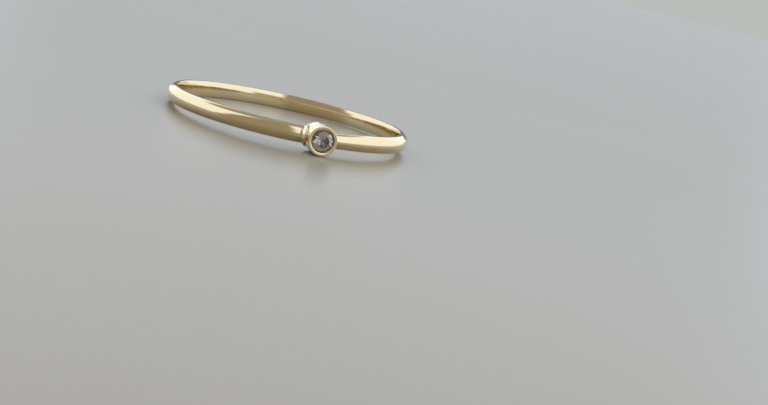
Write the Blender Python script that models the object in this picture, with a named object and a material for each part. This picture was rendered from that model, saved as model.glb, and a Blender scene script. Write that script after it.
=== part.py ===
"""Stackable ring: a thin yellow gold band with one small round stone in a tube setting.

The ring is modelled about its own axis, with the setting facing -Y, and then laid on its side.
The setting is wider than the band, so the lying ring rests on two places: the lower back edge of
the setting, and the lower edge of the band opposite it. It leans by the angle between the two.
The origin is on the surface that it lies on, under the middle of its box. Lengths are in metres.
"""

import math

import bmesh
import bpy
import numpy as np

# Band
FINGER_DIAMETER = 0.01725  # the hole for the finger at its narrowest, about a US size 7
BAND_THICKNESS = 0.0008  # from the finger side to the crown of the outside
BAND_WIDTH = 0.00125  # along the finger
DOME_RISE = 0.00046  # how much the outside bulges past its two edges, as half-round wire does
COMFORT_RISE = 0.00008  # how much the finger side bulges past its two edges
BAND_EDGE_EASE = 0.00005  # width of the small bevel along the band's four long edges

# Stone, a round brilliant
STONE_DIAMETER = 0.00165
TABLE_DIAMETER = 0.00093  # across the corners of the table
CROWN_HEIGHT = 0.00025
GIRDLE_THICKNESS = 0.00005  # at the corners of the facets
PAVILION_DEPTH = 0.00071
STAR_REACH = 0.52  # how far the star facets reach from the table's edge to the girdle
LOWER_HALF_REACH = 0.77  # how far the lower halves reach from the girdle to the point
TABLE_BELOW_RIM = 0.00003
SEAT_CLEARANCE = 0.00004  # all round the stone

# Tube setting, a round cup whose axis points away from the finger
CUP_WALL = 0.000195  # beside the stone's girdle
CUP_STAND = 0.0012  # how far its rim stands out past the crown of the band
CUP_RIM_ROUND = 0.00004  # radius of the rim's outer edge
CUP_BACK_INSET = 0.00002  # how far its back stays inside the edges of the band's finger side
RIM_FACE_WIDTH = 0.00017  # the flat of the rim, outside the bright cut
LIP_OVERLAP = 0.000075  # how far the lip covers the stone's edge
LIP_EDGE = 0.00004  # thickness of the lip at its mouth
BACK_HOLE_DIAMETER = 0.0009  # opens the cup to the finger side

# Fineness of the faceted solids
BAND_STATIONS = 120  # sections round the band
CUP_SIDES = 56
DOME_POINTS = 14
COMFORT_POINTS = 5
ROUND_POINTS = 3  # points on the rounded edge of the cup's rim
FOLDS = 8  # the brilliant repeats this many times round its axis
GIRDLE_POINTS = 4  # girdle points on each half facet

CUTTER_REACH = 0.0005  # how far a cutter runs past what it cuts

GOLD = (0.83, 0.66, 0.37, 1.0)
GOLD_ROUGHNESS = 0.16
STONE = (0.93, 0.92, 0.94, 1.0)
STONE_ROUGHNESS = 0.02
STONE_IOR = 2.42

FINGER_RADIUS = FINGER_DIAMETER / 2
CROWN_RADIUS = FINGER_RADIUS + BAND_THICKNESS
OUTER_EDGE = CROWN_RADIUS - DOME_RISE  # where the flat sides meet the outside
INNER_EDGE = FINGER_RADIUS + COMFORT_RISE  # where they meet the finger side
STONE_RADIUS = STONE_DIAMETER / 2
CUP_RADIUS = STONE_RADIUS + SEAT_CLEARANCE + CUP_WALL
CUP_BACK = INNER_EDGE + CUP_BACK_INSET
RIM_RADIUS = CROWN_RADIUS + CUP_STAND
GIRDLE_TOP = RIM_RADIUS - TABLE_BELOW_RIM - CROWN_HEIGHT  # the stone's girdle, from the ring's axis
HALF_FOLD = math.pi / FOLDS
SAME_POINT = STONE_RADIUS / 1000  # facets' corners nearer than this are one point
SMOOTH_ANGLE = math.radians(30)  # edges that turn by more than this are shaded sharp


def remove_all():
    for obj in list(bpy.data.objects):
        bpy.data.objects.remove(obj)


def material(name, colour, metallic, roughness, transmission=0.0, ior=1.45):
    made = bpy.data.materials.new(name)
    made.use_nodes = True
    shader = made.node_tree.nodes["Principled BSDF"]
    shader.inputs["Base Color"].default_value = colour
    shader.inputs["Metallic"].default_value = metallic
    shader.inputs["Roughness"].default_value = roughness
    shader.inputs["Transmission Weight"].default_value = transmission
    shader.inputs["IOR"].default_value = ior
    return made


def mesh_object(name, points, faces, smooth=True):
    """An object with these points and faces, which point outwards. Cut stones stay flat shaded."""
    mesh = bpy.data.meshes.new(name)
    mesh.from_pydata([tuple(p) for p in points], [], [tuple(int(i) for i in f) for f in faces])
    shape = bmesh.new()
    shape.from_mesh(mesh)
    bmesh.ops.recalc_face_normals(shape, faces=shape.faces)
    shape.to_mesh(mesh)
    shape.free()
    if smooth:
        mesh.shade_smooth()
        mesh.set_sharp_from_angle(angle=SMOOTH_ANGLE)
    obj = bpy.data.objects.new(name, mesh)
    bpy.context.collection.objects.link(obj)
    return obj


def closed_grid(rows, columns):
    """The faces of a grid of points, row after row, whose rows and columns both close on themselves."""
    return [
        (
            i * columns + j,
            i * columns + (j + 1) % columns,
            (i + 1) % rows * columns + (j + 1) % columns,
            (i + 1) % rows * columns + j,
        )
        for i in range(rows)
        for j in range(columns)
    ]


def turned(name, profile, sides):
    """A solid turned about Z from (radius, height) points, the first and last of them on the axis."""
    inner = profile[1:-1]
    points = [(0.0, 0.0, profile[0][1])]
    for radius, height in inner:
        for k in range(sides):
            angle = 2 * math.pi * k / sides
            points.append((radius * math.cos(angle), radius * math.sin(angle), height))
    points.append((0.0, 0.0, profile[-1][1]))
    last = len(points) - 1
    faces = []
    for k in range(sides):
        following = (k + 1) % sides
        faces.append((0, 1 + following, 1 + k))
        faces.append((last, last - sides + k, last - sides + following))
        for row in range(len(inner) - 1):
            low = 1 + row * sides
            faces.append((low + k, low + following, low + sides + following, low + sides + k))
    return mesh_object(name, points, faces)


def arc(centre, radius, start, end, count):
    """Points on an arc, ends included; angles in degrees."""
    angles = np.radians(np.linspace(start, end, count))
    return [(centre[0] + radius * math.cos(a), centre[1] + radius * math.sin(a)) for a in angles]


def bulge(edge, rise, start, end, count):
    """An arc across the band from height start to end, which bulges by rise past edge."""
    half = BAND_WIDTH / 2
    radius = (half**2 + rise**2) / (2 * abs(rise)) * math.copysign(1, rise)
    heights = np.linspace(start, end, count)
    return [(edge + rise - radius + math.copysign(math.sqrt(radius**2 - z * z), rise), z) for z in heights]


def band_section():
    """The band's section as (radius, height) points: two arcs, two flat sides, edges eased."""
    half = BAND_WIDTH / 2
    e = BAND_EDGE_EASE
    inside = half - e
    points = bulge(OUTER_EDGE, DOME_RISE, -inside, inside, DOME_POINTS)
    points += [(OUTER_EDGE - e, half)]
    points += [(INNER_EDGE + e, half)]
    points += bulge(INNER_EDGE, -COMFORT_RISE, inside, -inside, COMFORT_POINTS)
    points += [(INNER_EDGE + e, -half)]
    points += [(OUTER_EDGE - e, -half)]
    return np.array(points)


def make_band():
    """The section carried round the finger. It runs on through the cup, which its metal fills."""
    section = band_section()
    angles = np.linspace(0, 2 * math.pi, BAND_STATIONS, endpoint=False)[:, None]
    radius, height = section[:, 0], np.broadcast_to(section[:, 1], (BAND_STATIONS, len(section)))
    points = np.stack([radius * np.sin(angles), -radius * np.cos(angles), height], axis=-1)
    faces = closed_grid(len(angles), len(section))
    return mesh_object("band_with_bezel", points.reshape(-1, 3), faces)


def make_cup():
    """The tube as a plain bar along the setting's axis, its back hollowed to the curve of the finger."""
    rim = arc((CUP_RADIUS - CUP_RIM_ROUND, RIM_RADIUS - CUP_RIM_ROUND), CUP_RIM_ROUND, 0, 90, ROUND_POINTS)
    profile = [(0, CUP_BACK), (CUP_RADIUS / 2, CUP_BACK), (CUP_RADIUS, CUP_BACK), *rim, (0, RIM_RADIUS)]
    cup = turned("cup", profile, CUP_SIDES)
    for vertex in cup.data.vertices:
        if vertex.co.z < CROWN_RADIUS:
            vertex.co.z = math.sqrt(CUP_BACK**2 - vertex.co.x**2)
    return cup


def crown_slope():
    """The steepest fall of the crown's facets towards the girdle, that of the upper halves."""
    star_radius, star_height = star_tip()
    return star_height / (STONE_RADIUS * math.cos(HALF_FOLD / 2) - star_radius)


def make_seat():
    """The cutter for the cup: bright-cut mouth, lip, groove for the girdle, cone and the hole behind."""
    gap = SEAT_CLEARANCE
    lip = STONE_RADIUS - LIP_OVERLAP
    groove = STONE_RADIUS + gap
    hole = BACK_HOLE_DIAMETER / 2
    mouth = CUP_RADIUS - CUP_RIM_ROUND - RIM_FACE_WIDTH
    lip_under = GIRDLE_TOP + gap + LIP_OVERLAP * crown_slope()
    girdle_bottom = GIRDLE_TOP - GIRDLE_THICKNESS
    cone_slope = PAVILION_DEPTH / STONE_RADIUS
    cone_top = girdle_bottom - gap
    cone_bottom = cone_top - (groove - hole) * cone_slope
    profile = [
        (0, RIM_RADIUS + CUTTER_REACH),
        (mouth, RIM_RADIUS + CUTTER_REACH),
        (mouth, RIM_RADIUS),
        (lip, lip_under + LIP_EDGE),
        (lip, lip_under),
        (groove, GIRDLE_TOP + gap),
        (groove, cone_top),
        (hole, cone_bottom),
        (hole, FINGER_RADIUS - CUTTER_REACH),
        (0, FINGER_RADIUS - CUTTER_REACH),
    ]
    return turned("seat", profile[::-1], CUP_SIDES)


def star_tip():
    """Where two kite facets meet under the table's edge, as (radius, height over the girdle)."""
    table = TABLE_DIAMETER / 2
    inner = table * math.cos(HALF_FOLD)
    radius = inner + STAR_REACH * (STONE_RADIUS - inner)
    height = CROWN_HEIGHT * (STONE_RADIUS - radius * math.cos(HALF_FOLD)) / (STONE_RADIUS - table)
    return radius, height


def polar(radius, angle, height):
    return np.array([radius * math.cos(angle), radius * math.sin(angle), height])


def girdle_run(tip, start, end, corner_height):
    """Points of the round girdle on the flat facet through a tip and two girdle corners."""
    first = polar(STONE_RADIUS, start, corner_height)
    last = polar(STONE_RADIUS, end, corner_height)
    normal = np.cross(first - tip, last - tip)
    run = []
    for angle in np.linspace(start, end, GIRDLE_POINTS):
        x, y, _ = polar(STONE_RADIUS, angle, 0)
        height = tip[2] - (normal[0] * (x - tip[0]) + normal[1] * (y - tip[1])) / normal[2]
        run.append(np.array([x, y, height]))
    return run


def make_stone():
    """A round brilliant along Z, with its girdle's upper edge at the seat's height."""
    star_radius, star_height = star_tip()
    tip_radius = (1 - LOWER_HALF_REACH) * STONE_RADIUS
    main_slope = PAVILION_DEPTH / STONE_RADIUS
    tip_height = -GIRDLE_THICKNESS - PAVILION_DEPTH + tip_radius * math.cos(HALF_FOLD) * main_slope
    point = np.array([0, 0, -GIRDLE_THICKNESS - PAVILION_DEPTH])
    facets = []
    table = []
    for fold in range(FOLDS):
        middle = 2 * fold * HALF_FOLD
        before, after = middle - HALF_FOLD, middle + HALF_FOLD
        corner = polar(TABLE_DIAMETER / 2, middle, CROWN_HEIGHT)
        next_corner = polar(TABLE_DIAMETER / 2, middle + 2 * HALF_FOLD, CROWN_HEIGHT)
        kite_foot = polar(STONE_RADIUS, middle, 0)
        main_foot = polar(STONE_RADIUS, middle, -GIRDLE_THICKNESS)
        stars = [polar(star_radius, angle, star_height) for angle in (before, after)]
        tips = [polar(tip_radius, angle, tip_height) for angle in (before, after)]
        table.append(corner)
        facets.append([corner, next_corner, stars[1]])
        facets.append([corner, stars[0], kite_foot, stars[1]])
        facets.append([point, tips[0], main_foot, tips[1]])
        for side, (start, end) in enumerate(((before, middle), (middle, after))):
            upper = girdle_run(stars[side], start, end, 0)
            lower = girdle_run(tips[side], start, end, -GIRDLE_THICKNESS)
            facets.append([stars[side], *upper])
            facets.append([tips[side], *lower])
            for k in range(GIRDLE_POINTS - 1):
                facets.append([upper[k], upper[k + 1], lower[k + 1], lower[k]])
    facets.append(table)
    points = np.array([corner for facet in facets for corner in facet])
    points[:, 2] += GIRDLE_TOP
    starts = np.cumsum([0] + [len(facet) for facet in facets])
    faces = [range(a, b) for a, b in zip(starts[:-1], starts[1:])]
    stone = mesh_object("stone", points, faces, smooth=False)
    shape = bmesh.new()
    shape.from_mesh(stone.data)
    bmesh.ops.remove_doubles(shape, verts=shape.verts, dist=SAME_POINT)
    bmesh.ops.recalc_face_normals(shape, faces=shape.faces)
    shape.to_mesh(stone.data)
    shape.free()
    return stone


def hide(cutter):
    cutter.hide_render = True
    cutter.display_type = "WIRE"


def boolean(obj, name, operation, other):
    made = obj.modifiers.new(name, "BOOLEAN")
    made.operation = operation
    made.object = other
    hide(other)


def lean_angle():
    """The lean of the lying ring, from its two resting places: cup's back edge and band's far edge."""
    drop = CUP_RADIUS - BAND_WIDTH / 2
    reach = CUP_BACK + OUTER_EDGE - BAND_EDGE_EASE
    return math.asin(drop / math.hypot(drop, reach))


def make_ring():
    ring_axis = bpy.data.objects.new("ring_axis", None)
    bpy.context.collection.objects.link(ring_axis)

    band = make_band()
    cup, seat, stone = make_cup(), make_seat(), make_stone()
    for piece in (cup, seat, stone):
        piece.rotation_euler = (math.pi / 2, 0, 0)
    boolean(band, "soldered cup", "UNION", cup)
    boolean(band, "stone seat", "DIFFERENCE", seat)
    band.data.materials.append(material("polished yellow gold", GOLD, 1.0, GOLD_ROUGHNESS))
    stone.data.materials.append(
        material("white brilliant", STONE, 0.0, STONE_ROUGHNESS, transmission=1.0, ior=STONE_IOR)
    )
    for piece in (band, cup, seat, stone):
        piece.parent = ring_axis

    lean = lean_angle()
    front = RIM_RADIUS * math.cos(lean) + (CUP_RADIUS - CUP_RIM_ROUND) * math.sin(lean)
    back = CROWN_RADIUS * math.cos(lean)
    height = BAND_WIDTH / 2 * math.cos(lean) + (OUTER_EDGE - BAND_EDGE_EASE) * math.sin(lean)
    ring_axis.rotation_euler = (-lean, 0, 0)
    ring_axis.location = (0, (front - back) / 2, height)


remove_all()
make_ring()
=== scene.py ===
"""Looks of the stackable ring: a thin 14k gold band with a small round brilliant in a tube bezel.

Lengths are in millimetres, and each mesh is brought to metres where it is made. A shape is worked out
in the ring's own frame, about the finger's axis with the stone facing -Y, and then laid on its side.
"""

import bpy
import numpy as np
from mathutils import Matrix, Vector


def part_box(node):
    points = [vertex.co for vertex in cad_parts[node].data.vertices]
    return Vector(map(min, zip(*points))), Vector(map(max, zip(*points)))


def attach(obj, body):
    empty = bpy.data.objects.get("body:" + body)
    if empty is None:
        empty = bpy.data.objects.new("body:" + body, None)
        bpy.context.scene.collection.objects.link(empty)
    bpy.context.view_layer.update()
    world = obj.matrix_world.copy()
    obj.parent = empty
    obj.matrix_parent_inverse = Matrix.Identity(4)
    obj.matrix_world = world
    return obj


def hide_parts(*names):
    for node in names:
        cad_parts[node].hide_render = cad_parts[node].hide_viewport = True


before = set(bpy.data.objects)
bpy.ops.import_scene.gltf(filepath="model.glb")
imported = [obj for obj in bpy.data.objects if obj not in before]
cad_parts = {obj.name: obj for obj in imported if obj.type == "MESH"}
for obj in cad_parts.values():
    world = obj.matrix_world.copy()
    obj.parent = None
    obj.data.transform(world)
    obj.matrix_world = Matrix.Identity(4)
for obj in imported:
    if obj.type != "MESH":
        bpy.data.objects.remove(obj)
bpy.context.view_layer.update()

MM = 0.001

# Band
FINGER_RADIUS = 8.625  # the hole for the finger at its narrowest
BAND_THICKNESS = 0.8
CROWN_RADIUS = FINGER_RADIUS + BAND_THICKNESS
HALF_WIDTH = 0.625
DOME_RISE = 0.46  # how much the outside bulges past its two edges
COMFORT_RISE = 0.08  # how much the finger side bulges past its two edges
DOME_RADIUS = (HALF_WIDTH**2 + DOME_RISE**2) / (2 * DOME_RISE)
COMFORT_RADIUS = (HALF_WIDTH**2 + COMFORT_RISE**2) / (2 * COMFORT_RISE)
OUTER_EDGE_RADIUS = 0.08  # of the outside's two long edges, softened by polishing
INNER_EDGE_RADIUS = 0.05  # of the finger side's two long edges
OUTER_EDGE = CROWN_RADIUS - DOME_RISE
INNER_EDGE = FINGER_RADIUS + COMFORT_RISE
BAND_EDGE_EASE = 0.05  # bevel of the solid's outer edges, which moves in the line that it rests on
BAND_STATIONS = 620  # sections round the band
STATION_SPREAD = 0.88  # how much the stations crowd beside the bezel, from 0 to 1

# Bezel and the seat in it, with heights counted from the finger's axis
STONE_RADIUS = 0.825
CROWN_HEIGHT = 0.25  # of the stone, over its girdle
TABLE_BELOW_RIM = 0.03
CUP_RADIUS = 1.06
CUP_STAND = 1.2  # how far the rim stands out past the crown of the band
CUP_BACK_INSET = 0.02  # how far the back stays inside the edges of the band's finger side
CUP_EDGE_RADIUS = 0.045
RIM_FACE_WIDTH = 0.17
RIM_HEIGHT = CROWN_RADIUS + CUP_STAND
CUP_BACK = INNER_EDGE + CUP_BACK_INSET
BACK_RECESS = 0.003  # keeps the bezel's back from lying in the same place as the finger side
GIRDLE_TOP = RIM_HEIGHT - TABLE_BELOW_RIM - CROWN_HEIGHT
LIP_OVERLAP = 0.075  # how far the lip covers the stone's edge
LIP_ABOVE_GIRDLE = 0.075
LIP_EDGE = 0.04  # thickness of the lip at its mouth
LIP_RADIUS = STONE_RADIUS - LIP_OVERLAP
LIP_UNDER = GIRDLE_TOP + LIP_ABOVE_GIRDLE  # where the lip presses on the stone
GROOVE_PLAY = 0.012  # between the stone's edge and the groove that holds it
GROOVE_DEPTH = 0.09  # of the groove, from the top of the girdle down
GROOVE_RADIUS = STONE_RADIUS + GROOVE_PLAY
GROOVE_BOTTOM = GIRDLE_TOP - GROOVE_DEPTH
SEAT_SLOPE = 0.86  # of the cone under the stone
BACK_HOLE_RADIUS = 0.45
HOLE_TOP = GROOVE_BOTTOM - (GROOVE_RADIUS - BACK_HOLE_RADIUS) * SEAT_SLOPE
BEZEL_STATIONS = 160
ROUND_POINTS = 7  # on each rounded corner of the bezel's section

# Hand work
BAND_END = 0.7  # where the band's metal ends inside the bezel's wall, from the bezel's axis
SOLDER_FILLET = 0.3  # how far the solder runs out from the bezel's wall
SOLDER_SWELL = 0.8  # its height at the wall, as a share of how far it runs out
SOLDER_SIDE_SHARE = 0.4  # how far it runs out on the band's flat sides, as a share of SOLDER_FILLET
SOLDER_FADE = 0.25  # over which it dies out towards the finger side
SOLDER_ON_BAND = 0.45  # how far from the wall the solder's colour reaches
SOLDER_ON_BEZEL = 0.35  # how far up the wall it reaches
FILED_DROP = 0.15  # how much lower the band's upper edge was filed beside the bezel
FILED_REACH = 3.2  # how far along the band that reaches
MOUTH_ROLL = 0.13  # radius that burnishing left on the rim's inner edge
BRIGHT_CUT_RADIUS = 0.79  # of the middle of the bright cut round the stone
BRIGHT_CUT_SPREAD = 0.05
WALL_RIDGES = 0.55  # spacing of the soft ridges that filing left round the bezel's wall
WALL_RIDGE_RISE = 0.005
WALL_RIDGE_BEND = 2.4  # how far the ridges wander, in radians of their wave
RIDGE_FADE_IN, RIDGE_FADE_OUT = 0.2, 0.15  # past the band's crown, and before the rim
BAND_UNEVEN, WIDTH_UNEVEN, RIM_UNEVEN = 0.006, 0.008, 0.004  # the second is a share of the width

# How the ring lies: on the bezel's lower back edge and the band's lower edge opposite
LEAN = np.arcsin(
    (CUP_RADIUS - HALF_WIDTH)
    / np.hypot(CUP_RADIUS - HALF_WIDTH, CUP_BACK + OUTER_EDGE - BAND_EDGE_EASE)
)
FLOOR_RADIUS = 3000.0
FLOOR_RINGS, FLOOR_SPOKES = 40, 96

# The camera, from a fit of the ring's outline to the photograph, 768 x 405 pixels
FRAME_WIDTH, FRAME_HEIGHT = 768, 405
FOCAL_PIXELS = 1300
CAMERA_DISTANCE = 100.68  # from the ring's centre
CAMERA_ELEVATION = 6.99  # degrees above the ring's plane
CAMERA_ROLL = 12.48
CAMERA_AZIMUTH = 14.8  # degrees from the way the stone faces
CENTRE_PIXEL = (288.61, 115.56)  # where the ring's centre shows


def linear(hex_colour):
    """The linear value of an sRGB colour such as C0FFEE, with alpha 1."""
    shares = np.array([int(hex_colour[i : i + 2], 16) for i in (0, 2, 4)]) / 255
    low = shares / 12.92
    high = ((shares + 0.055) / 1.055) ** 2.4
    return (*np.where(shares <= 0.04045, low, high).tolist(), 1.0)


def turn(axis, degrees):
    """The matrix that turns points about an axis, counter-clockwise seen from its tip."""
    return np.array(Matrix.Rotation(np.radians(degrees), 3, axis))


def lay_down(points):
    """Ring frame to world: leaned back about X by LEAN, then lifted and moved until it rests."""
    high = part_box("band_with_bezel")[1]
    rest = OUTER_EDGE - BAND_EDGE_EASE
    height = HALF_WIDTH * np.cos(LEAN) + rest * np.sin(LEAN)
    back = high.y / MM - CROWN_RADIUS * np.cos(LEAN)
    leaned = points @ turn("X", -np.degrees(LEAN)).T
    return leaned + np.array([0, back, height])


# Meshes


def surface(name, grid, uv=None, ends="joined", attributes=None):
    """A mesh from a grid of points, rows by columns, whose columns close on themselves.

    With ends "joined" the rows close on themselves too, with "capped" each end row becomes a face, and
    with "open" they stay apart. If the volume inside comes out negative, the faces are turned round.
    """
    rows, columns = grid.shape[:2]
    points = grid.reshape(-1, 3)
    bands = np.arange(rows if ends == "joined" else rows - 1)
    i, j = np.meshgrid(bands, np.arange(columns), indexing="ij")
    after_i, after_j = (i + 1) % rows, (j + 1) % columns
    around = [(i, j), (i, after_j), (after_i, after_j), (after_i, j)]
    corners = np.stack([row * columns + column for row, column in around], axis=-1).reshape(-1, 4)
    corner_uv = None
    if uv is not None:
        u, v = uv
        pairs = [u[i], v[j], u[i], v[j + 1], u[i + 1], v[j + 1], u[i + 1], v[j]]
        corner_uv = np.stack(pairs, axis=-1).reshape(-1, 4, 2)
    a, b, c, d = (points[corners[:, k]] for k in range(4))
    volume = np.einsum("ij,ij->", a, np.cross(b, c)) + np.einsum("ij,ij->", a, np.cross(c, d))
    if volume < 0:
        corners = corners[:, ::-1]
        corner_uv = None if corner_uv is None else corner_uv[:, ::-1]
    faces = corners.tolist()
    if ends == "capped":
        first = np.arange(columns)
        last = first + (rows - 1) * columns
        caps = [first[::-1], last] if volume > 0 else [first, last[::-1]]
        faces += [cap.tolist() for cap in caps]
    mesh = bpy.data.meshes.new(name)
    mesh.from_pydata((points * MM).tolist(), [], faces)
    if corner_uv is not None:
        flat = np.zeros((len(mesh.loops), 2))
        flat[: len(corners) * 4] = corner_uv.reshape(-1, 2)
        mesh.uv_layers.new(name="UVMap").data.foreach_set("uv", flat.astype(np.float32).ravel())
    for key, values in (attributes or {}).items():
        layer = mesh.attributes.new(key, "FLOAT", "POINT")
        layer.data.foreach_set("value", values.astype(np.float32).ravel())
    mesh.shade_smooth()
    piece = bpy.data.objects.new(name, mesh)
    bpy.context.collection.objects.link(piece)
    return piece


def arc(centre, radius, start, end, count):
    """Points on an arc in the (radius, height) plane, ends included, with angles in degrees."""
    angles = np.radians(np.linspace(start, end, count))
    return np.stack([centre[0] + radius * np.cos(angles), centre[1] + radius * np.sin(angles)], axis=-1)


def straight(start, end, count):
    """Evenly spaced points between two points, without the two."""
    shares = np.linspace(0, 1, count + 2)[1:-1, None]
    return np.array(start) * (1 - shares) + np.array(end) * shares


def lengths_along(section):
    """How far each point of a closed section lies along it, with the whole length at the end."""
    steps = np.linalg.norm(np.diff(np.vstack([section, section[:1]]), axis=0), axis=1)
    return np.concatenate([[0], np.cumsum(steps)])


def corner_round(before, corner, after, radius):
    """The arc of a radius that rounds a corner between two straight lines, touching both.

    Between its ends s and e, seen from its centre, and over a spread w, the point at a share t is
    (s sin((1 - t) w) + e sin(t w)) / sin(w).
    """
    before, corner, after = (np.array(p, float) for p in (before, corner, after))
    one = (before - corner) / np.linalg.norm(before - corner)
    two = (after - corner) / np.linalg.norm(after - corner)
    half = np.arccos(np.clip(one @ two, -1, 1)) / 2
    middle = one + two
    centre = corner + middle / np.linalg.norm(middle) * radius / np.sin(half)
    start = corner + one * radius / np.tan(half) - centre
    end = corner + two * radius / np.tan(half) - centre
    shares = np.linspace(0, 1, ROUND_POINTS)[:, None]
    spread = np.pi - 2 * half
    swept = (np.sin((1 - shares) * spread) * start + np.sin(shares * spread) * end) / np.sin(spread)
    return centre + swept


def band_section():
    """The band's section as (radius, height) points and unit normals, with all its corners rounded.

    The outside and the finger side are arcs, each of radius (h^2 + r^2) / 2r for half width h and rise r.
    A corner's round has its centre where the arc and the flat side, both moved in by its radius, meet.
    """
    dome_centre, comfort_centre = CROWN_RADIUS - DOME_RADIUS, FINGER_RADIUS + COMFORT_RADIUS
    outer_z, inner_z = HALF_WIDTH - OUTER_EDGE_RADIUS, HALF_WIDTH - INNER_EDGE_RADIUS
    outer = dome_centre + np.sqrt((DOME_RADIUS - OUTER_EDGE_RADIUS) ** 2 - outer_z**2)
    inner = comfort_centre - np.sqrt((COMFORT_RADIUS - INNER_EDGE_RADIUS) ** 2 - inner_z**2)
    dome_end = np.degrees(np.arctan2(outer_z, outer - dome_centre))
    comfort_end = np.degrees(np.arctan2(inner_z, inner - comfort_centre))
    # The last number of each is how many points it has
    pieces = [
        arc((dome_centre, 0), DOME_RADIUS, -dome_end, dome_end, 49),
        arc((outer, outer_z), OUTER_EDGE_RADIUS, dome_end, 90, 6)[1:],
        straight((outer, HALF_WIDTH), (inner, HALF_WIDTH), 4),
        arc((inner, inner_z), INNER_EDGE_RADIUS, 90, comfort_end, 9),
        arc((comfort_centre, 0), COMFORT_RADIUS, comfort_end, 360 - comfort_end, 21)[1:],
        arc((inner, -inner_z), INNER_EDGE_RADIUS, -comfort_end, -90, 9)[1:],
        straight((inner, -HALF_WIDTH), (outer, -HALF_WIDTH), 4),
        arc((outer, -outer_z), OUTER_EDGE_RADIUS, -90, -dome_end, 6)[:-1],
    ]
    section = np.concatenate(pieces)
    along = np.roll(section, -1, axis=0) - np.roll(section, 1, axis=0)
    normals = np.stack([along[:, 1], -along[:, 0]], axis=-1)
    return section, normals / np.linalg.norm(normals, axis=1, keepdims=True)


def wander(angle, height, seed):
    """A slow unevenness round the ring that closes on itself: the height times the sum of sin(n a + p) / n
    for an angle a, a few whole numbers of turns n and random phases p."""
    random = np.random.default_rng(seed)
    total = np.zeros_like(angle)
    for turns in (2, 3, 5, 7, 11):
        total = total + np.sin(turns * angle + random.uniform(0, 2 * np.pi)) / turns
    return height * total


def make_band():
    """The section carried round the finger, from one side of the bezel's wall to the other.

    Stations lie closer beside the bezel: the angle is a half turn plus a mix of a straight line and a
    sine. Within f of the bezel's wall, at a distance d, the solder swells the surface by
    SOLDER_SWELL f (1 - d/f)^2, which leaves the wall at a slant. On the bezel's +X side the upper edge is
    filed down by FILED_DROP (1 - a)^2 (1 + 2 a), where a goes from 0 to 1 over FILED_REACH.
    """
    section, normals = band_section()
    first = np.arcsin(BAND_END / CROWN_RADIUS)
    t = np.linspace(-1, 1, BAND_STATIONS)[:, None]
    eased = STATION_SPREAD * np.sin(t * np.pi / 2) + (1 - STATION_SPREAD) * t
    angle = np.pi + (np.pi - first) * eased
    radius = section[:, 0] + wander(angle, BAND_UNEVEN, 3)
    height = section[:, 1] * (1 + wander(angle, WIDTH_UNEVEN, 5))

    x = radius * np.sin(angle)
    facing = np.cos(angle) > 0
    along = np.clip((np.where(facing, x, np.inf) - CUP_RADIUS) / FILED_REACH, 0, 1)
    filed = FILED_DROP * (1 - along) ** 2 * (1 + 2 * along) * (x > 0) * facing
    height = height - filed * np.clip((height + HALF_WIDTH) / (2 * HALF_WIDTH), 0, 1) ** 2

    distance = np.where(facing, np.hypot(x, height) - CUP_RADIUS, np.inf)
    fillet = SOLDER_FILLET * (np.abs(normals[:, 0]) + SOLDER_SIDE_SHARE * np.abs(normals[:, 1]))
    swell = SOLDER_SWELL * fillet * np.clip(1 - distance / fillet, 0, 1) ** 2
    outside = np.clip((radius - INNER_EDGE) / SOLDER_FADE, 0, 1)
    radius = radius + swell * outside * normals[:, 0]
    height = height + swell * outside * normals[:, 1]

    grid = np.stack([radius * np.sin(angle), -radius * np.cos(angle), height], axis=-1)
    uv = (angle[:, 0] * CROWN_RADIUS, lengths_along(section))
    solder = np.clip(1 - np.maximum(distance, 0) / SOLDER_ON_BAND, 0, 1)
    return surface("band", lay_down(grid), uv, ends="capped", attributes={"solder": solder})


def back_radius(height):
    """How far the bezel's back lies from the finger's axis: flush with the band's finger side, which is
    FINGER_RADIUS + R - sqrt(R^2 - h^2) at a height h, and no further out than CUP_BACK."""
    curve = FINGER_RADIUS + COMFORT_RADIUS - np.sqrt(COMFORT_RADIUS**2 - height**2)
    return np.minimum(curve, CUP_BACK) + BACK_RECESS


def cup_profile():
    """The bezel's section as (radius, height) points: up the outside, over the rim, down the bright cut,
    under the lip, down the seat and the hole, and back along the finger side, its corners rounded."""
    mouth = CUP_RADIUS - CUP_EDGE_RADIUS - RIM_FACE_WIDTH
    lip_top = LIP_UNDER + LIP_EDGE
    # Each corner, the radius that rounds it, and how many points the straight after it has
    corners = [
        ((CUP_RADIUS, CUP_BACK), 0.04, 60),
        ((CUP_RADIUS, RIM_HEIGHT), CUP_EDGE_RADIUS, 6),
        ((mouth, RIM_HEIGHT), MOUTH_ROLL, 4),
        ((LIP_RADIUS, lip_top), 0.012, 1),
        ((LIP_RADIUS, LIP_UNDER), 0.008, 3),
        ((GROOVE_RADIUS, GIRDLE_TOP), 0.01, 3),
        ((GROOVE_RADIUS, GROOVE_BOTTOM), 0.01, 8),
        ((BACK_HOLE_RADIUS, HOLE_TOP), 0.03, 14),
        ((BACK_HOLE_RADIUS, CUP_BACK), 0.04, 18),
    ]
    count = len(corners)
    rounds = [
        corner_round(corners[k - 1][0], corners[k][0], corners[(k + 1) % count][0], corners[k][1])
        for k in range(count)
    ]
    points = []
    for k in range(count):
        points += [rounds[k], straight(rounds[k][-1], rounds[(k + 1) % count][0], corners[k][2])]
    return np.concatenate(points)


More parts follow.
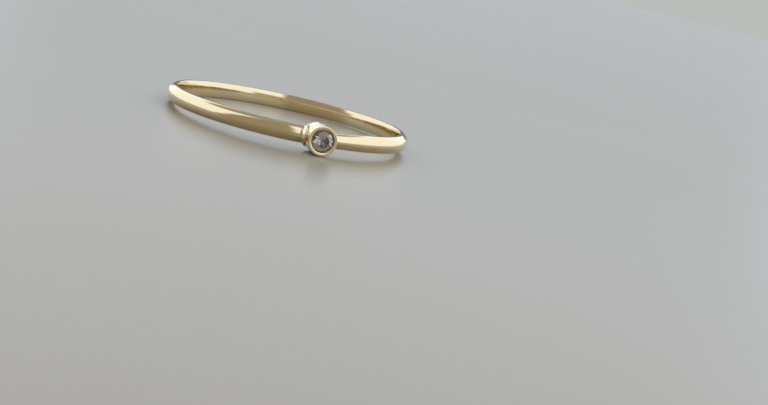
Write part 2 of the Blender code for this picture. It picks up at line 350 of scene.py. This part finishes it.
def make_bezel():
    """The section turned about the bezel's axis, which points along -Y.

    At a share s, which falls from 1 at the back to 0 at the band's crown, a point is moved by s times
    sqrt(b^2 - x^2) - CUP_BACK, with b from back_radius, so that the back follows the finger. Filing left
    ridges on the wall, WALL_RIDGE_RISE sin(2 pi h / WALL_RIDGES + p) at a height h, with a phase p that
    wanders. Burnishing left all that lies above the girdle a little uneven, by sums of sines.
    """
    profile = cup_profile()
    angle = np.linspace(0, 2 * np.pi, BEZEL_STATIONS, endpoint=False)[:, None]
    burnished = profile[:, 1] > GIRDLE_TOP
    radius = profile[:, 0] + wander(angle, RIM_UNEVEN, 8) * burnished
    wall = (profile[:, 0] > CUP_RADIUS - CUP_EDGE_RADIUS) & (profile[:, 1] > CUP_BACK)
    past_band = np.clip((profile[:, 1] - CROWN_RADIUS) / RIDGE_FADE_IN, 0, 1)
    below_rim = np.clip((RIM_HEIGHT - CUP_EDGE_RADIUS - profile[:, 1]) / RIDGE_FADE_OUT, 0, 1)
    phase = 2 * np.pi * profile[:, 1] / WALL_RIDGES + wander(angle, WALL_RIDGE_BEND, 12)
    radius = radius + WALL_RIDGE_RISE * np.sin(phase) * wall * past_band * below_rim
    x, z = radius * np.cos(angle), radius * np.sin(angle)
    above = profile[:, 1] - CUP_BACK
    back = np.sqrt(back_radius(z) ** 2 - x**2)
    settle = np.clip(1 - above / (CROWN_RADIUS - CUP_BACK), 0, 1)
    height = profile[:, 1] + (back - CUP_BACK) * settle
    height = height + wander(angle, RIM_UNEVEN, 9) * burnished
    grid = np.stack([x, -height, z], axis=-1)
    uv = (np.append(angle[:, 0], 2 * np.pi) * CUP_RADIUS, lengths_along(profile))
    cut = np.exp(-(((profile[:, 0] - BRIGHT_CUT_RADIUS) / BRIGHT_CUT_SPREAD) ** 2))
    cut = cut * (profile[:, 1] > LIP_UNDER)
    solder = np.clip(1 - (height - CROWN_RADIUS) / SOLDER_ON_BEZEL, 0, 1)
    attributes = {"bright_cut": np.broadcast_to(cut, height.shape), "solder": solder}
    return surface("bezel", lay_down(grid), uv, attributes=attributes)


# Materials


def new_material(name):
    """A material of that name, its node tree, and the shader in it."""
    made = bpy.data.materials.new(name)
    made.use_nodes = True
    tree = made.node_tree
    return made, tree, tree.nodes["Principled BSDF"]


def add(tree, kind, links=None, **settings):
    """A node of a kind, with its settings. links gives a socket's name or number what feeds it: another
    node's socket, or a plain value."""
    node = tree.nodes.new(kind)
    for key, value in settings.items():
        setattr(node, key, value)
    for socket, source in (links or {}).items():
        if isinstance(source, bpy.types.NodeSocket):
            tree.links.new(source, node.inputs[socket])
        else:
            node.inputs[socket].default_value = source
    return node


def per(millimetres):
    """The scale of a pattern on Object coordinates whose features lie this far apart."""
    return 1 / (millimetres * MM)


def polished_gold(name, hex_colour, roughness, attribute=None, attribute_roughness=None):
    """Polished 14k yellow gold, an alloy with copper and silver that is paler than pure gold.

    Buffed by hand, which leaves a mirror with a slow waviness, hairlines along the way it was rubbed, and
    a fine haze where it has been worn against other rings. Where an attribute of the mesh is 1, as on the
    bright cut, the metal is clearer and has the attribute's roughness.
    """
    made, tree, shader = new_material(name)
    place = add(tree, "ShaderNodeTexCoord").outputs["Object"]
    lengths = add(tree, "ShaderNodeUVMap", uv_map="UVMap").outputs["UV"]

    # Buffing waves, 1.6 mm apart, and smaller dents of wear, 0.35 mm apart
    waves = add(tree, "ShaderNodeTexNoise", {"Vector": place, "Scale": per(1.6), "Detail": 2.0})
    dents = add(tree, "ShaderNodeTexNoise", {"Vector": place, "Scale": per(0.35), "Detail": 3.0})
    # Hairlines run along the piece. Real ones are 0.01 mm wide, and these are 0.06 mm, so that they show
    rubbed = add(tree, "ShaderNodeMapping", {"Vector": lengths, "Scale": (0.35, 16.0, 1.0)})
    hairs = add(tree, "ShaderNodeTexNoise", {"Vector": rubbed.outputs[0], "Scale": 1.0, "Detail": 2.0})

    # Wear takes the roughness from 0.7 to 1.5 of its usual value
    wear = {"From Min": 0.35, "From Max": 0.75, "To Min": roughness * 0.7, "To Max": roughness * 1.5}
    rough = add(tree, "ShaderNodeMapRange", {"Value": dents.outputs[0], **wear}).outputs[0]
    if attribute:
        there = add(tree, "ShaderNodeAttribute", attribute_name=attribute).outputs["Fac"]
        rough = add(tree, "ShaderNodeMix", {"Factor": there, "A": rough, "B": attribute_roughness}).outputs[0]
    tree.links.new(rough, shader.inputs["Roughness"])

    # Each bump lies on the one before, with its height in millimetres
    normal = {}
    for pattern, rise in ((waves, 0.0045), (dents, 0.0006), (hairs, 0.0003)):
        bump = add(tree, "ShaderNodeBump", {"Height": pattern.outputs[0], "Distance": rise * MM, **normal})
        normal = {"Normal": bump.outputs[0]}
    tree.links.new(normal["Normal"], shader.inputs["Normal"])

    # The solder is a paler alloy than the band, and blends out within half a millimetre
    joint = add(tree, "ShaderNodeAttribute", attribute_name="solder").outputs["Fac"]
    colours = {"Factor": joint, "A": linear(hex_colour), "B": linear("E0D2AC")}
    colour = add(tree, "ShaderNodeMix", colours, data_type="RGBA")
    tree.links.new(colour.outputs["Result"], shader.inputs["Base Color"])
    shader.inputs["Metallic"].default_value = 1.0
    return made


def white_topaz():
    """A cut and polished white topaz, which refracts too little to throw back all the light: at a slant
    one looks through its far facets into the dark cup behind. Those facets, below the girdle, carry a painted
    reflection of the gold cup, with painted shade darker towards its lower side, and the crown has a faint
    warm tint."""
    made, tree, shader = new_material("cut and polished white topaz")
    place = add(tree, "ShaderNodeTexCoord").outputs["Object"]
    low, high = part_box("stone")

    # Specks inside the stone, 0.25 mm apart, so pale that they only break up its tint
    specks = add(tree, "ShaderNodeTexNoise", {"Vector": place, "Scale": per(0.25), "Detail": 2.0})
    pale = {"Factor": specks.outputs[0], "A": linear("C2B7AB"), "B": linear("B4A9A0")}
    tint = add(tree, "ShaderNodeMix", pale, data_type="RGBA")

    # Painted reflection of the cup and painted shade behind the girdle: it starts 0.03 mm behind the girdle's
    # front edge, and is whole 0.04 mm further back
    girdle = low.y + (CROWN_HEIGHT + 0.03) * MM
    depth = add(tree, "ShaderNodeSeparateXYZ", {0: place}).outputs[1]
    behind = add(
        tree,
        "ShaderNodeMapRange",
        {"Value": depth, "From Min": girdle, "From Max": girdle + 0.04 * MM},
    )
    # The painted shade lies on the cup's lower side, towards +X and down
    lower_side = (0.75, 0.0, -0.66)
    middle = lower_side[0] * (low.x + high.x) / 2 + lower_side[2] * (low.z + high.z) / 2
    along = add(tree, "ShaderNodeVectorMath", {0: place, 1: lower_side}, operation="DOT_PRODUCT")
    painted_shade_share = add(
        tree,
        "ShaderNodeMapRange",
        {"Value": along.outputs["Value"], "From Min": middle - 0.45 * MM, "From Max": middle - 0.05 * MM},
    )
    # Painted colour: a tan painted reflection of the gold cup, turning to near-black painted shade towards
    # the lower side
    dark = {"Factor": painted_shade_share.outputs[0], "A": linear("A09478"), "B": linear("2B2226")}
    painted_cup_and_shade = add(tree, "ShaderNodeMix", dark, data_type="RGBA")
    whole = {"Factor": behind.outputs[0], "A": tint.outputs["Result"], "B": painted_cup_and_shade.outputs["Result"]}
    backed = add(tree, "ShaderNodeMix", whole, data_type="RGBA")
    tree.links.new(backed.outputs["Result"], shader.inputs["Base Color"])
    shader.inputs["Transmission Weight"].default_value = 1.0
    shader.inputs["IOR"].default_value = 1.62
    shader.inputs["Roughness"].default_value = 0.0
    return made


def honed_stone():
    """Pale honed stone for the floor, with a dull sheen and clouds 45 mm apart."""
    made, tree, shader = new_material("pale honed stone")
    place = add(tree, "ShaderNodeTexCoord").outputs["Object"]
    clouds = add(tree, "ShaderNodeTexNoise", {"Vector": place, "Scale": per(45), "Detail": 3.0})
    greys = {"Factor": clouds.outputs[0], "A": linear("9E9381"), "B": linear("A49988")}
    colour = add(tree, "ShaderNodeMix", greys, data_type="RGBA")
    tree.links.new(colour.outputs["Result"], shader.inputs["Base Color"])
    shader.inputs["Roughness"].default_value = 0.32
    shader.inputs["Specular IOR Level"].default_value = 0.4
    return made


# Stage


def make_floor():
    """A flat disc round the ring: rings of points whose radius grows as the cube of their number, from
    so small a first one that the disc is closed at the middle."""
    radius = FLOOR_RADIUS * np.linspace(0.0005, 1, FLOOR_RINGS)[:, None] ** 3
    angle = np.linspace(0, 2 * np.pi, FLOOR_SPOKES, endpoint=False)
    level = np.zeros((FLOOR_RINGS, FLOOR_SPOKES))
    flat = np.stack([radius * np.cos(angle), radius * np.sin(angle), level], axis=-1)
    floor = surface("floor", flat, ends="open")
    floor.data.materials.append(honed_stone())
    if floor.data.polygons[0].normal.z < 0:
        floor.data.flip_normals()


def light_room():
    """A pale dome of soft light, dimmer in some zones, as the room round a photographer is.

    A zone is a share and a tone. The share is 1 near a direction, or near a compass azimuth up to an
    elevation, and falls smoothly to 0 further off. Azimuths count from -Y towards +X. Later zones lie
    over earlier ones.
    """
    world = bpy.data.worlds.new("soft studio")
    bpy.context.scene.world = world
    world.use_nodes = True
    tree = world.node_tree
    direction = add(tree, "ShaderNodeTexCoord").outputs["Generated"]
    parts = add(tree, "ShaderNodeSeparateXYZ", {0: direction}).outputs
    flat = add(tree, "ShaderNodeCombineXYZ", {0: parts[0], 1: parts[1]}).outputs[0]
    compass = add(tree, "ShaderNodeVectorMath", {0: flat}, operation="NORMALIZE").outputs[0]

    def sine(degrees):
        return float(np.sin(np.radians(degrees)))

    def below(full, none):
        """The share that is 1 up to an elevation of full degrees and 0 from none degrees on."""
        fade = {"From Min": sine(full), "From Max": sine(none), "To Min": 1.0, "To Max": 0.0}
        links = {"Value": parts[2], **fade}
        return add(tree, "ShaderNodeMapRange", links, interpolation_type="SMOOTHSTEP").outputs[0]

    def near(heading, azimuth, elevation, full, none, within=1.0):
        """The share that is 1 up to full degrees from a direction and 0 from none degrees on, times
        another share, within."""
        aim = (
            sine(azimuth) * sine(90 - elevation),
            -sine(90 - azimuth) * sine(90 - elevation),
            sine(elevation),
        )
        cosine = add(tree, "ShaderNodeVectorMath", {0: heading, 1: aim}, operation="DOT_PRODUCT")
        fade = {"From Min": sine(90 - none), "From Max": sine(90 - full), "To Max": within}
        links = {"Value": cosine.outputs["Value"], **fade}
        return add(tree, "ShaderNodeMapRange", links, interpolation_type="SMOOTHSTEP").outputs[0]

    dome, ceiling, viewer = (1.24, 1.38, 1.58, 1), (0.42, 0.42, 0.41, 1), (0.39, 0.355, 0.32, 1)
    far_wall, table = (0.20, 0.205, 0.195, 1), (0.50, 0.51, 0.50, 1)
    zones = [
        (near(direction, 190, 70, 22, 30), ceiling),
        (near(direction, 165, 56, 13, 22), ceiling),
        (near(compass, -41, 0, 30, 40), viewer),
        (near(compass, -28, 0, 50, 60, below(7, 11)), viewer),
        (near(compass, 176 - CAMERA_AZIMUTH, 0, 14, 22, below(8, 10.5)), far_wall),
        (near(compass, 150, 0, 18, 32, below(1.6, 3.0)), table),
    ]
    colour = dome
    for share, tone in zones:
        mixed = add(tree, "ShaderNodeMix", {"Factor": share, "A": colour, "B": tone}, data_type="RGBA")
        colour = mixed.outputs["Result"]
    tree.links.new(colour, tree.nodes["Background"].inputs["Color"])


def aim_camera():
    """The camera of the fit. It looks at the ring's centre from CAMERA_ELEVATION, is rolled, and is then
    turned so that the centre shows at CENTRE_PIXEL. Last it is brought into the part's frame: turned by
    CAMERA_AZIMUTH about the finger's axis, and laid down with the ring."""
    elevation = np.radians(CAMERA_ELEVATION)
    away = np.array([0, -np.cos(elevation), np.sin(elevation)])
    right = np.array([1.0, 0, 0])
    facing = np.stack([right, np.cross(away, right), away], axis=1)
    u, v = CENTRE_PIXEL
    ray = np.array([u - FRAME_WIDTH / 2, FRAME_HEIGHT / 2 - v, -FOCAL_PIXELS])
    ray /= np.linalg.norm(ray)
    ahead = np.array([0, 0, -1.0])
    cross = np.cross(ray, ahead)
    skew = np.array([[0, -cross[2], cross[1]], [cross[2], 0, -cross[0]], [-cross[1], cross[0], 0]])
    recentre = np.eye(3) + skew + skew @ skew / (1 + ray @ ahead)
    around = turn("Z", -CAMERA_AZIMUTH)
    axes = turn("X", -np.degrees(LEAN)) @ around @ facing @ turn("Z", CAMERA_ROLL) @ recentre
    place = lay_down((around @ away * CAMERA_DISTANCE)[None])[0]

    camera = bpy.data.cameras.new("camera")
    camera.sensor_width = 36
    camera.lens = FOCAL_PIXELS / FRAME_WIDTH * camera.sensor_width
    camera.clip_start = MM
    seen_from = bpy.data.objects.new("camera", camera)
    bpy.context.collection.objects.link(seen_from)
    matrix = Matrix(axes.tolist()).to_4x4()
    matrix.translation = place * MM
    seen_from.matrix_world = matrix
    bpy.context.scene.camera = seen_from


def dress_ring():
    """The band and the bezel in place of the solid, and the solid's own stone in a new material."""
    band, bezel = make_band(), make_bezel()
    band.data.materials.append(polished_gold("polished 14k yellow gold", "E1CDA3", 0.09))
    bezel.data.materials.append(
        polished_gold("burnished 14k yellow gold", "E1D0A6", 0.13, "bright_cut", 0.04)
    )
    for piece in (band, bezel):
        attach(piece, "root")
        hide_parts("band_with_bezel")
    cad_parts["stone"].material_slots[0].material = white_topaz()


dress_ring()
make_floor()
light_room()
aim_camera()

scene = bpy.context.scene
scene.view_settings.view_transform = "Standard"
scene.cycles.max_bounces = 24
scene.cycles.transmission_bounces = 24
scene.cycles.glossy_bounces = 12
